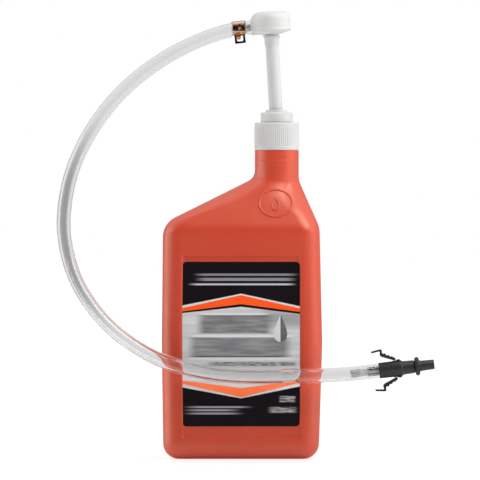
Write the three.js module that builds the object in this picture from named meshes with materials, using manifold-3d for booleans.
// Fluid transfer pump on its one-quart bottle: a hand plunger pump in a ribbed screw closure, a clear hose
// held by a spring band clamp, and a hose-end filling adapter with two serrated grip legs.
// Millimetres, +Z up, front towards -Y. The origin is the middle of the bottle's flat base.
import * as THREE from 'three';
import { mergeVertices } from 'three/addons/utils/BufferGeometryUtils.js';
import Module from 'manifold-3d';

const wasm = await Module();
wasm.setup();

// ---------------------------------------------------------------- driving dimensions
const GAP = 0.3; // air between neighbouring pieces
const ROUND = 32; // sides of the larger round pieces
const SMALL_ROUND = 20; // sides of the smaller round pieces
const DEG = Math.PI / 180;

const BOTTLE = { depth: 59, wall: 1.8, baseRadius: 8, cornerRadius: 12.5 };
const NECK = { x: 23.5, radius: 14.8, top: 207.4, bore: 10.4 };
const FINISH = { radius: 12.4, top: 221.6 }; // the threaded mouth, 28 mm class
const THREAD = { pitch: 4.23, turns: 1.25, start: 213.2, rootWidth: 1.7, crestWidth: 0.9 };
const THREAD_CREST = { bottle: 13.5, closure: 12.75 };
const PANEL = { x: -0.6, z: 75.2, width: 82.2, height: 122, depth: 0.8, corner: 1.5 };
const LABEL = { width: 78.9, height: 110.4, bottom: 22.1, thickness: 0.4, corner: 2 };

const CLOSURE = { bottom: 207.8, top: 226.4, radius: 15.2, wallRadius: 13.85, hole: 8.6, ribs: 54 };
const FLANGE = { radius: 12.2, bottom: 223.0, top: 224.3 };
const BARREL = { radius: 9.0, bore: 7.8, floor: 142.0, bottom: 139.4 };
const DIP_TUBE = { radius: 3.95, bore: 2.6, top: 139.1, bottom: 9.0 };
const COLLAR = { radius: 10.8, neck: 8.2, plug: 7.5, plugBottom: 221.2, top: 233.2 };
const COLLAR_DISC = { radius: 7.3, top: 235.0 };
const BALL = { inletRadius: 3.175, outletRadius: 2.0, seatHole: 2.2 };

const PIVOT_Z = 217.3; // where the stem pivots in the piston, with the plunger up
const LEAN_DEG = 3.2; // the stem's lean in its collar with the plunger up
const PLAY = 0.3; // how far the stem sits to one side of the cylinder's axis
const STEM = { radius: 4.5, bore: 2.7, shoulder: 3.7, bossBottom: 60.9, bossTop: 68.6, spigotTop: 73.5 };
const HEAD = { radius: 13.6, bottom: 68.9, rim: 71.4, top: 84.1 };
const SPOUT = { height: 75.3, radius: 5.4, reach: 14.0, dropDeg: 5, barb: 13.0 };
const SPRING = { radius: 5.4, wire: 1.2, turns: 8, bottom: 152.1, top: 211.5 };

const HOSE = { radius: 4.75, bore: 3.2, steps: 32 };
const ADAPTER = { x: 91.7, y: -42, z: 59.65, tiltDeg: 6.7, bore: 1.6 };
const LEG = { width: 4.6 };
const CLAMP = { width: 8.4, bore: 5.05, thickness: 0.5, along: 7.6 };

// The hose's centre line, from the spout to the adapter: round the left of the bottle and across its front.
const HOSE_ROUTE = [
  [-1.5, 0.0, 289.5],
  [-8.5, 0.0, 288.5],
  [-18.5, -0.3, 285.7],
  [-31.8, -1.0, 280.5],
  [-47.0, -2.3, 272.9],
  [-62.5, -4.1, 262.8],
  [-76.7, -6.2, 251.2],
  [-89.3, -8.6, 237.9],
  [-100.0, -11.3, 223.1],
  [-108.8, -14.1, 207.1],
  [-115.3, -17.1, 189.9],
  [-118.9, -20.2, 172.0],
  [-119.7, -23.4, 153.8],
  [-116.7, -26.6, 135.6],
  [-110.4, -29.6, 118.2],
  [-100.5, -32.5, 102.4],
  [-88.1, -35.1, 88.5],
  [-73.4, -37.3, 77.1],
  [-57.1, -39.1, 67.9],
  [-39.5, -40.5, 61.6],
  [-21.2, -41.4, 57.7],
  [-2.5, -42.0, 55.8],
  [16.3, -42.0, 55.4],
  [35.7, -42.0, 55.8],
  [54.6, -42.0, 56.5],
  [71.9, -42.0, 57.5],
  [81.8, -42.0, 58.5],
];

// ---------------------------------------------------------------- materials
function plastic(color, roughness) {
  return new THREE.MeshStandardMaterial({ color, roughness, metalness: 0 });
}

const RED_PLASTIC = plastic(0xd4452c, 0.4);
const LABEL_FILM = plastic(0x2a2a2e, 0.35);
const WHITE_PLASTIC = plastic(0xf0f0ee, 0.4);
const NATURAL_PLASTIC = plastic(0xe2e4de, 0.45);
const GASKET_FOAM = plastic(0xdcdcd6, 0.8);
const CLEAR_VINYL = plastic(0xdfe2e2, 0.15);
const BLACK_PLASTIC = plastic(0x1b1b1c, 0.5);
const BLACK_RUBBER = plastic(0x111112, 0.6);
const STAINLESS = new THREE.MeshStandardMaterial({ color: 0xb9bcc0, roughness: 0.3, metalness: 1 });
const YELLOW_ZINC = new THREE.MeshStandardMaterial({ color: 0xc79a62, roughness: 0.3, metalness: 1 });

// ---------------------------------------------------------------- solids
function bareGeometry(positions, indices) {
  const geometry = new THREE.BufferGeometry();
  geometry.setAttribute('position', new THREE.BufferAttribute(new Float32Array(positions), 3));
  geometry.setIndex(new THREE.BufferAttribute(new Uint32Array(indices), 1));
  return geometry;
}

function toSolid(geometry) {
  const bare = new THREE.BufferGeometry();
  bare.setAttribute('position', geometry.getAttribute('position').clone());
  bare.setIndex(geometry.getIndex());
  const merged = mergeVertices(bare, 1e-4);
  const corners = merged.getIndex().array;
  const kept = [];
  for (let i = 0; i < corners.length; i += 3) {
    const [a, b, c] = corners.slice(i, i + 3);
    if (a !== b && b !== c && c !== a) kept.push(a, b, c);
  }
  const vertProperties = new Float32Array(merged.getAttribute('position').array);
  return new wasm.Manifold(new wasm.Mesh({ numProp: 3, vertProperties, triVerts: new Uint32Array(kept) }));
}

function toGeometry(solid) {
  const mesh = solid.getMesh();
  const geometry = bareGeometry(mesh.vertProperties, mesh.triVerts);
  geometry.computeVertexNormals();
  return geometry;
}

function join(first, ...others) {
  return toGeometry(others.reduce((solid, other) => solid.add(toSolid(other)), toSolid(first)));
}

function cut(first, ...others) {
  return toGeometry(others.reduce((solid, other) => solid.subtract(toSolid(other)), toSolid(first)));
}

// A solid of revolution about Z from [radius, height] points, listed up the outside and down the inside.
// A profile that starts off the axis closes on itself.
function lathe(profile, segments = ROUND) {
  const points = profile.map(([radius, height]) => new THREE.Vector2(radius, height));
  if (profile[0][0] > 0) points.push(points[0].clone());
  const geometry = new THREE.LatheGeometry(points, segments);
  geometry.rotateX(Math.PI / 2);
  return toGeometry(toSolid(geometry));
}

function tube(outer, inner, bottom, top, segments = ROUND) {
  return lathe([[inner, bottom], [outer, bottom], [outer, top], [inner, top]], segments);
}

function rod(radius, bottom, top, segments = ROUND) {
  return lathe([[0, bottom], [radius, bottom], [radius, top], [0, top]], segments);
}

function box(width, depth, height, x = 0, y = 0, z = 0) {
  const geometry = new THREE.BoxGeometry(width, depth, height);
  geometry.translate(x, y, z);
  return geometry;
}

// Closed rings of [x, y, z] points joined in order, with a flat cap at each end.
function loft(rings) {
  const count = rings[0].length;
  const positions = rings.flat(2);
  const indices = [];
  for (let ring = 0; ring < rings.length - 1; ring++) {
    for (let i = 0; i < count; i++) {
      const a = ring * count + i;
      const b = ring * count + ((i + 1) % count);
      indices.push(a, b, b + count, a, b + count, a + count);
    }
  }
  const last = (rings.length - 1) * count;
  for (let i = 1; i < count - 1; i++) {
    indices.push(0, i + 1, i, last, last + i, last + i + 1);
  }
  return bareGeometry(positions, indices);
}

// A flat plate with rounded corners, upright in the XZ plane, from y = front to y = front + thickness.
function uprightPlate(width, height, corner, front, thickness) {
  const shape = new THREE.Shape();
  const [w, h] = [width / 2 - corner, height / 2 - corner];
  shape.absarc(w, -h, corner, -Math.PI / 2, 0);
  shape.absarc(w, h, corner, 0, Math.PI / 2);
  shape.absarc(-w, h, corner, Math.PI / 2, Math.PI);
  shape.absarc(-w, -h, corner, Math.PI, Math.PI * 1.5);
  const extrusion = { depth: thickness, bevelEnabled: false, curveSegments: 5 };
  const geometry = new THREE.ExtrudeGeometry(shape, extrusion);
  geometry.rotateX(Math.PI / 2);
  geometry.translate(0, front + thickness, 0);
  return geometry;
}

function addPart(parent, name, material, geometry) {
  const mesh = new THREE.Mesh(geometry, material);
  mesh.name = name;
  parent.add(mesh);
}

// ---------------------------------------------------------------- outlines
// Corner points [x, z, radius] become a polyline whose corners are arcs of that radius.
function rounded(corners) {
  const points = [];
  corners.forEach(([x, z, radius = 0], i) => {
    const here = new THREE.Vector2(x, z);
    if (!radius) {
      points.push(here);
      return;
    }
    const back = new THREE.Vector2(corners[i - 1][0], corners[i - 1][1]).sub(here).normalize();
    const on = new THREE.Vector2(corners[i + 1][0], corners[i + 1][1]).sub(here).normalize();
    const half = Math.acos(back.dot(on)) / 2;
    const centre = back.clone().add(on).normalize().multiplyScalar(radius / Math.sin(half)).add(here);
    const start = back.clone().multiplyScalar(radius / Math.tan(half)).add(here).sub(centre);
    const finish = on.clone().multiplyScalar(radius / Math.tan(half)).add(here).sub(centre);
    const turn = Math.atan2(start.cross(finish), start.dot(finish));
    for (let k = 0; k <= 8; k++) {
      points.push(start.clone().rotateAround(new THREE.Vector2(), (turn * k) / 8).add(centre));
    }
  });
  return points;
}

// The outline's x at height z.
function across(outline, z) {
  for (let i = outline.length - 1; i > 0; i--) {
    const [low, high] = [outline[i - 1], outline[i]];
    if (z >= low.y && z <= high.y && high.y > low.y) {
      return THREE.MathUtils.mapLinear(z, low.y, high.y, low.x, high.x);
    }
  }
  return outline[outline.length - 1].x;
}

const LEFT_SIDE = rounded([
  [0, 0], [-53, 0, BOTTLE.baseRadius], [-54, 78], [-53.2, 158.3, 15], [NECK.x - NECK.radius, 189.2, 8],
  [NECK.x - NECK.radius, NECK.top],
]);
const RIGHT_SIDE = rounded([
  [0, 0], [51.6, 0, BOTTLE.baseRadius], [54, 78], [52.2, 155.5, 20], [NECK.x + NECK.radius, 187.5, 12],
  [NECK.x + NECK.radius, NECK.top],
]);
const FRONT_SIDE = rounded([
  [0, 0], [BOTTLE.depth / 2, 0, BOTTLE.baseRadius], [BOTTLE.depth / 2, 155, 18], [NECK.radius, 187, 12],
  [NECK.radius, NECK.top],
]);

// ---------------------------------------------------------------- bottle
// Steps in each quarter of the bottle's section: 1 on the side, 7 round the corner, 2 on the front.
const QUARTER = 10;

// One horizontal section of the bottle at height z, drawn in from the outside by inset.
function bottleSection(z, inset) {
  const slope = inset ? 1.2 : 0; // keeps the wall thick where the shoulder slopes
  const level = Math.min(z + slope, NECK.top);
  const left = Math.max(across(LEFT_SIDE, z), across(LEFT_SIDE, level)) + inset;
  const right = Math.min(across(RIGHT_SIDE, z), across(RIGHT_SIDE, level)) - inset;
  const b = Math.min(across(FRONT_SIDE, z), across(FRONT_SIDE, level)) - inset;
  const a = (right - left) / 2;
  const baseInset = z < BOTTLE.baseRadius ? BOTTLE.depth / 2 - inset - b : 0;
  const r = Math.min(BOTTLE.cornerRadius - inset - baseInset, b - 0.05, a - 0.05);
  const roundness = THREE.MathUtils.smoothstep(z, 176, 194);
  const points = [];
  for (let i = 0; i < 4 * QUARTER; i++) {
    const quarter = Math.floor(i / QUARTER);
    const k = quarter % 2 ? QUARTER - (i % QUARTER) : i % QUARTER;
    const turn = (Math.min(Math.max(k - 1, 0), 7) / 7) * (Math.PI / 2);
    const x = k === QUARTER ? 0 : k === 9 ? (a - r) / 2 : a - r + r * Math.cos(turn);
    const y = k === 0 ? 0 : b - r + r * Math.sin(turn);
    const angle = (k / QUARTER) * (Math.PI / 2);
    const signX = quarter === 1 || quarter === 2 ? -1 : 1;
    const signY = quarter >= 2 ? -1 : 1;
    points.push([
      (left + right) / 2 + signX * THREE.MathUtils.lerp(x, a * Math.cos(angle), roundness),
      signY * THREE.MathUtils.lerp(y, b * Math.sin(angle), roundness),
      z,
    ]);
  }
  return points;
}

function circle(radius, z) {
  const points = [];
  for (let i = 0; i < 4 * QUARTER; i++) {
    const angle = (i / (4 * QUARTER)) * 2 * Math.PI;
    points.push([NECK.x + radius * Math.cos(angle), radius * Math.sin(angle), z]);
  }
  return points;
}

// A helical ridge about Z, its width narrowing from root to crest; inward ridges have crest < root.
function threadRidge(root, crest, start) {
  const stepsPerTurn = 24;
  const rings = [];
  const steps = THREAD.turns * stepsPerTurn;
  for (let i = 0; i <= steps; i++) {
    const angle = (i / stepsPerTurn) * 2 * Math.PI;
    const z = start + (THREAD.pitch * i) / stepsPerTurn;
    const [rootHalf, crestHalf] = [THREAD.rootWidth / 2, THREAD.crestWidth / 2];
    const corners = [
      [root, z - rootHalf], [crest, z - crestHalf], [crest, z + crestHalf], [root, z + rootHalf],
    ];
    if (crest > root) corners.reverse();
    rings.push(corners.map(([r, height]) => [r * Math.cos(angle), r * Math.sin(angle), height]));
  }
  return loft(rings);
}

function bottle() {
  const outside = [0, 0.6, 2.3, 4.7, 8, 78, 146, 149, 152];
  for (let z = 155; z < 192; z += 3) outside.push(z);
  outside.push(196, NECK.top);
  const inside = [203, 196, 190, 184, 178, 170, 162, 156, 150, 146, 78, 8, BOTTLE.wall];
  const rings = [
    ...outside.map((z) => bottleSection(z, 0)),
    circle(FINISH.radius, NECK.top + 0.2),
    circle(FINISH.radius, FINISH.top),
    circle(NECK.bore, FINISH.top),
    circle(NECK.bore, NECK.top),
    ...inside.map((z) => bottleSection(z, BOTTLE.wall)),
  ];
  const ridge = threadRidge(FINISH.radius - 0.3, THREAD_CREST.bottle, THREAD.start);
  ridge.translate(NECK.x, 0, 0);
  const cutterDepth = 2; // the panel's cutter starts at the recess's floor and reaches past the wall
  const panels = [-1, 1].map((side) => {
    const floor = side * (BOTTLE.depth / 2 - PANEL.depth + cutterDepth / 2);
    const plate = uprightPlate(PANEL.width, PANEL.height, PANEL.corner, floor - cutterDepth / 2, cutterDepth);
    plate.translate(PANEL.x, 0, PANEL.z);
    return plate;
  });
  return cut(join(loft(rings), ridge), ...panels);
}

function bottleLabel() {
  const front = -BOTTLE.depth / 2 + PANEL.depth - GAP - LABEL.thickness;
  const label = uprightPlate(LABEL.width, LABEL.height, LABEL.corner, front, LABEL.thickness);
  label.translate(PANEL.x, 0, LABEL.bottom + LABEL.height / 2);
  return label;
}

// ---------------------------------------------------------------- closure, gasket, cylinder, collar
function closure() {
  const { bottom, top, radius, wallRadius, hole, ribs } = CLOSURE;
  const core = lathe([
    [0, bottom], [radius, bottom], [radius, bottom + 2.2], [radius - 0.5, bottom + 2.7],
    [radius - 0.5, top - 1.6], [radius - 0.3, top - 0.8], [radius - 1.2, top], [0, top],
  ]);
  const outline = [];
  for (let i = 0; i < ribs * 2; i++) {
    const angle = (i / ribs) * Math.PI;
    const reach = radius + (i % 2 ? 0.1 : -0.45);
    outline.push(new THREE.Vector2(reach * Math.cos(angle), reach * Math.sin(angle)));
  }
  const ribbed = new THREE.ExtrudeGeometry(new THREE.Shape(outline), { depth: 13, bevelEnabled: false });
  ribbed.translate(0, 0, bottom + 2.4);
  const inside = rod(wallRadius, bottom - 1, top - 1.5);
  const shell = cut(join(core, ribbed), inside, rod(hole, bottom, top + 1));
  const ridge = threadRidge(wallRadius + 0.3, THREAD_CREST.closure, THREAD.start - THREAD.pitch / 2);
  return join(shell, ridge);
}

function pumpCylinder() {
  const { radius, bore, floor, bottom } = BARREL;
  const socket = DIP_TUBE.radius + GAP;
  const barrel = lathe([
    [BALL.seatHole, bottom], [socket, bottom], [socket, bottom - 13], [socket + 1.3, bottom - 13],
    [socket + 1.5, bottom + 1], [radius, bottom + 4.5], [radius, FLANGE.bottom],
    [FLANGE.radius, FLANGE.bottom], [FLANGE.radius, FLANGE.top], [bore, FLANGE.top], [bore, floor + 1.6],
    [BALL.seatHole + 1.4, floor + 1.2], [BALL.seatHole, floor],
  ]);
  const vent = rod(1, -5, 5, 12);
  vent.rotateY(Math.PI / 2);
  vent.translate(radius, 0, 205);
  return cut(barrel, vent);
}

function lockingCollar() {
  const { radius, neck, plug, plugBottom, top } = COLLAR;
  const [low, high] = [STEM.radius + 0.8, STEM.radius + 1.65]; // the hole opens upwards to let the stem lean
  return lathe([
    [low, plugBottom], [plug, plugBottom], [plug, FLANGE.top + GAP], [neck, FLANGE.top + GAP],
    [neck, CLOSURE.top + GAP], [radius, CLOSURE.top + GAP], [radius, top - 0.6], [radius - 0.6, top],
    [COLLAR_DISC.radius, top], [COLLAR_DISC.radius, COLLAR_DISC.top], [high, COLLAR_DISC.top],
  ]);
}

function ballCage() {
  const floor = BARREL.floor + 2.0;
  const top = SPRING.bottom - GAP;
  const cage = lathe([
    [3.6, floor], [4.6, floor], [4.6, top - 1.5], [BARREL.bore - GAP, top - 1.5], [BARREL.bore - GAP, top],
    [2, top], [2, top - 1.5], [3.6, top - 1.5],
  ], SMALL_ROUND);
  const slots = [0, 60, 120].map((angle) => {
    const slot = box(12, 1.6, 3, 0, 0, floor + 3.5);
    slot.rotateZ(angle * DEG);
    return slot;
  });
  return cut(cage, ...slots);
}

function ball(radius, height) {
  const geometry = new THREE.SphereGeometry(radius, 12, 8);
  geometry.translate(0, 0, height);
  return toGeometry(toSolid(geometry));
}

function returnSpring() {
  const { radius, wire, turns, bottom, top } = SPRING;
  const [stepsPerTurn, sides] = [12, 6];
  const steps = turns * stepsPerTurn;
  const rings = [];
  for (let i = 0; i <= steps; i++) {
    const angle = (i / stepsPerTurn) * 2 * Math.PI;
    const climb = THREE.MathUtils.smoothstep(i / steps, 0, 1) * 0.25 + (i / steps) * 0.75;
    const z = bottom + wire / 2 + (top - bottom - wire) * climb;
    const ring = [];
    for (let k = 0; k < sides; k++) {
      const around = (-k / sides) * 2 * Math.PI;
      const r = radius + (wire / 2) * Math.cos(around);
      ring.push([r * Math.cos(angle), r * Math.sin(angle), z + (wire / 2) * Math.sin(around)]);
    }
    rings.push(ring);
  }
  return loft(rings);
}

function dipTube() {
  const { radius, bore, bottom, top } = DIP_TUBE;
  const knife = box(20, 20, 8, 0, 0, -4);
  knife.rotateY(35 * DEG);
  knife.translate(0, 0, bottom + 2);
  return cut(tube(radius, bore, bottom, top, SMALL_ROUND), knife);
}

// ---------------------------------------------------------------- plunger (heights from the piston's pivot)
const SPIGOT = 3.2; // radius of the stem's lower spigot, which carries the seal and its retainer

function pistonSeal() {
  const outer = BARREL.bore - GAP;
  const inner = SPIGOT + PLAY + 0.4;
  return lathe([
    [inner, -3.1], [outer - 1.6, -3.1], [outer - 1.2, -2.2], [outer, -3.1], [outer, -0.6], [outer - 0.7, 0],
    [outer, 0.8], [outer, 3.1], [outer - 1.0, 2.2], [outer - 1.6, 3.0], [inner, 3.0],
  ]);
}

function pistonRetainer() {
  const inner = SPIGOT + PLAY + 0.4;
  return lathe([[inner, -5.5], [6.7, -5.5], [6.7, -3.4], [inner, -3.4]], SMALL_ROUND);
}

function stem() {
  const { radius, bore, shoulder, bossBottom, bossTop, spigotTop } = STEM;
  return lathe([
    [1.3, -5.4], [SPIGOT, -5.4], [SPIGOT, shoulder], [radius, shoulder], [radius, bossBottom],
    [radius + 0.5, bossBottom + 0.6], [radius + 0.5, bossBottom + 4.8], [radius + 1.0, bossBottom + 5.3],
    [radius + 1.0, bossBottom + 6.5], [radius + 0.5, bossBottom + 7.0], [radius + 0.5, bossTop],
    [radius - 0.4, bossTop], [radius - 0.4, spigotTop], [bore, spigotTop], [bore, 6.8], [1.5, 6.2],
    [1.5, 5.4], [bore, 4.8], [bore, 0.4], [1.3, -1.0],
  ], 24);
}

function pumpHead() {
  const { radius, bottom, rim, top } = HEAD;
  const cap = lathe([
    [0, bottom], [6.4, bottom], [radius - 0.1, rim], [radius, rim + 1.2], [radius - 0.4, rim + 2.0],
    [radius - 0.8, top - 5], [radius - 1.8, top - 2.7], [radius - 4.0, top - 1.1],
    [radius - 7.6, top - 0.3], [0, top],
  ], 36);
  const { height, radius: spoutRadius, reach, dropDeg, barb } = SPOUT;
  const end = reach + barb;
  const spoutOutline = [
    [0, 2], [spoutRadius, 2], [spoutRadius, reach - 1], [spoutRadius - 1, reach], [2.4, reach],
    [2.4, reach + 1.5], [2.85, reach + 3.5], [2.4, reach + 4], [2.4, reach + 6], [2.85, reach + 8],
    [2.4, reach + 8.5], [2.4, reach + 10], [2.85, end - 1], [2.0, end], [0, end],
  ];
  const toSpout = (geometry) => {
    geometry.rotateY(-90 * DEG - dropDeg * DEG);
    geometry.translate(0, 0, height);
    return geometry;
  };
  const spout = toSpout(lathe(spoutOutline, SMALL_ROUND));
  const passage = toSpout(rod(1.5, 0, end + 1, 16));
  const socket = rod(STEM.radius - 0.1, bottom - 1, height + 1.3, 24);
  return cut(join(cap, spout), socket, passage);
}

// ---------------------------------------------------------------- hose
const lean = LEAN_DEG * DEG;
const spoutAngle = lean + SPOUT.dropDeg * DEG;
const spoutDirection = new THREE.Vector3(-Math.cos(spoutAngle), 0, -Math.sin(spoutAngle));
const spoutOrigin = new THREE.Vector3(
  NECK.x + PLAY - SPOUT.height * Math.sin(lean), 0, PIVOT_Z + SPOUT.height * Math.cos(lean),
);
const adapterTilt = ADAPTER.tiltDeg * DEG;

function hoseCurve() {
  const start = spoutOrigin.clone().addScaledVector(spoutDirection, SPOUT.reach + GAP);
  const middle = HOSE_ROUTE.map(([x, y, z]) => new THREE.Vector3(x, y, z));
  const along = new THREE.Vector3(Math.cos(adapterTilt), 0, Math.sin(adapterTilt));
  const end = new THREE.Vector3(ADAPTER.x, ADAPTER.y, ADAPTER.z).addScaledVector(along, -GAP);
  return new THREE.CatmullRomCurve3([start, ...middle, end], false, 'centripetal');
}

function polygon(radius, sides) {
  const points = [];
  for (let i = 0; i < sides; i++) {
    const angle = (i / sides) * 2 * Math.PI;
    points.push(new THREE.Vector2(radius * Math.cos(angle), radius * Math.sin(angle)));
  }
  return points;
}

function hose() {
  const section = new THREE.Shape(polygon(HOSE.radius, 12));
  section.holes.push(new THREE.Path(polygon(HOSE.bore, 12).reverse()));
  const extrusion = { steps: HOSE.steps, bevelEnabled: false, extrudePath: hoseCurve() };
  return new THREE.ExtrudeGeometry(section, extrusion);
}

// A spring band clamp about the X axis: the band, a hanging window ear, and the tongue seen through it.
function hoseClamp() {
  const { width, bore, thickness } = CLAMP;
  const outer = bore + thickness;
  const band = tube(outer, bore, -width / 2, width / 2, 24);
  band.rotateY(Math.PI / 2);
  const slit = box(width + 1, 0.5, 2, 0, 0.25, -bore);
  const dimple = rod(1, -8, 0, 20);
  dimple.scale(1.5, 2.3, 1);
  dimple.rotateX(Math.PI / 2);
  dimple.translate(0, 0, 0.6);
  const earTop = -bore + 0.3;
  const window = box(3.9, 3, 3.6, 0, -0.6, earTop - 3.3);
  const frame = cut(box(7.2, thickness, 6.7, 0, -0.6, earTop - 3.35), window);
  const tongue = box(2.6, thickness, 3.4, -0.6, 1.05, earTop - 1.7);
  const root = box(width, thickness, 1.3, 0, 1.05, earTop - 0.6);
  return join(cut(band, dimple, slit), frame, tongue, root);
}

// ---------------------------------------------------------------- adapter (drawn along Z, from the hose end)
function adapterBody() {
  const outline = [
    [ADAPTER.bore, 10.6], [ADAPTER.bore, 37.0], [2.6, 37.0], [3.0, 36.6], [3.45, 28.4], [3.9, 27.4],
    [3.35, 27.2], [3.35, 24.3], [3.9, 24.1], [4.25, 23.6], [4.5, 16.4], [5.4, 15.2], [5.4, 12.6],
    [5.35, 12.4], [5.2, 0], [2.75, 0], [2.75, 10.6],
  ];
  const lug = (side) => box(LEG.width + 1.4, 2.0, 2.6, 0, side * 5.6, 13.6);
  return join(lathe(outline.reverse(), 24), cut(join(lug(1), lug(-1)), rod(4.5, 0, 30)));
}

function adapterBarb() {
  return lathe([
    [1.3, -19.1], [2.1, -19.1], [2.7, -17.4], [2.7, -13.0], [2.3, -11.8], [2.3, -7.6], [2.7, -7.2],
    [2.4, -5.6], [2.7, -5.2], [2.4, -3.6], [2.7, -3.2], [2.4, -1.6], [2.4, 10.2], [1.3, 10.2],
  ], SMALL_ROUND);
}

function sealRing() {
  const ring = new THREE.TorusGeometry(4.9, 1.2, 8, 24);
  ring.translate(0, 0, 25.75);
  return toGeometry(toSolid(ring));
}

// One grip leg, drawn in the plane of the adapter's axis (along) and its distance from the axis (out).
function gripLeg(side) {
  const shape = new THREE.Shape();
  const outline = [
    [10.4, 5.75], [11.9, 5.9], [11.9, 7.4], [10.1, 8.2], [9.9, 8.9], [8.8, 8.4], [7.8, 9.4], [7.6, 10.0],
    [6.4, 9.6], [5.5, 10.7], [5.3, 11.3], [4.2, 10.9], [3.4, 11.5], [3.4, 13.8], [2.5, 14.2],
    [-3.9, 13.3], [-3.8, 12.1], [1.9, 12.8], [1.6, 10.0], [2.6, 9.0],
  ];
  outline.forEach(([along, out], i) => (i ? shape.lineTo(along, out) : shape.moveTo(along, out)));
  shape.closePath();
  const geometry = new THREE.ExtrudeGeometry(shape, { depth: LEG.width, bevelEnabled: false });
  geometry.translate(0, 0, -LEG.width / 2);
  if (side < 0) geometry.rotateX(Math.PI);
  return geometry;
}

// ---------------------------------------------------------------- assembly
const group = new THREE.Group();
addPart(group, 'bottle', RED_PLASTIC, bottle());
addPart(group, 'bottle_label', LABEL_FILM, bottleLabel());

const neckAxis = new THREE.Group();
neckAxis.position.x = NECK.x;
group.add(neckAxis);
addPart(neckAxis, 'closure', WHITE_PLASTIC, closure());
addPart(neckAxis, 'closure_gasket', GASKET_FOAM, tube(12.2, 9.4, FINISH.top + GAP, FLANGE.bottom - GAP));
addPart(neckAxis, 'pump_cylinder', NATURAL_PLASTIC, pumpCylinder());
addPart(neckAxis, 'locking_collar', WHITE_PLASTIC, lockingCollar());
addPart(neckAxis, 'ball_cage', WHITE_PLASTIC, ballCage());
addPart(neckAxis, 'inlet_ball', STAINLESS, ball(BALL.inletRadius, BARREL.floor + 2.7));
addPart(neckAxis, 'return_spring', STAINLESS, returnSpring());
addPart(neckAxis, 'dip_tube', NATURAL_PLASTIC, dipTube());

const piston = new THREE.Group();
piston.position.z = PIVOT_Z;
neckAxis.add(piston);
addPart(piston, 'piston_seal', NATURAL_PLASTIC, pistonSeal());
addPart(piston, 'piston_retainer', WHITE_PLASTIC, pistonRetainer());

const plunger = new THREE.Group();
plunger.position.x = PLAY;
plunger.rotation.y = -lean;
piston.add(plunger);
addPart(plunger, 'stem', WHITE_PLASTIC, stem());
addPart(plunger, 'outlet_ball', STAINLESS, ball(BALL.outletRadius, 1.0));
addPart(plunger, 'pump_head', WHITE_PLASTIC, pumpHead());

addPart(group, 'hose', CLEAR_VINYL, hose());

const clampPlace = new THREE.Group();
clampPlace.position.copy(spoutOrigin).addScaledVector(spoutDirection, SPOUT.reach + CLAMP.along);
clampPlace.rotation.y = -spoutAngle;
group.add(clampPlace);
addPart(clampPlace, 'hose_clamp', YELLOW_ZINC, hoseClamp());

const adapter = new THREE.Group();
adapter.position.set(ADAPTER.x, ADAPTER.y, ADAPTER.z);
adapter.rotation.y = -adapterTilt;
group.add(adapter);
const adapterAxis = new THREE.Group(); // turns pieces drawn along Z onto the adapter's axis
adapterAxis.rotation.set(0, Math.PI / 2, 0);
adapter.add(adapterAxis);
addPart(adapterAxis, 'adapter_barb', BLACK_PLASTIC, adapterBarb());
addPart(adapterAxis, 'adapter_seal_ring', BLACK_RUBBER, sealRing());
const adapterBodyPlace = new THREE.Group(); // puts the lugs above and below
adapterBodyPlace.rotation.z = Math.PI / 2;
adapterAxis.add(adapterBodyPlace);
addPart(adapterBodyPlace, 'adapter_body', BLACK_PLASTIC, adapterBody());
const legPlane = new THREE.Group(); // the legs' drawing plane stands upright along the adapter
legPlane.rotation.x = Math.PI / 2;
adapter.add(legPlane);
addPart(legPlane, 'grip_leg_upper', BLACK_PLASTIC, gripLeg(1));
addPart(legPlane, 'grip_leg_lower', BLACK_PLASTIC, gripLeg(-1));

export default group;
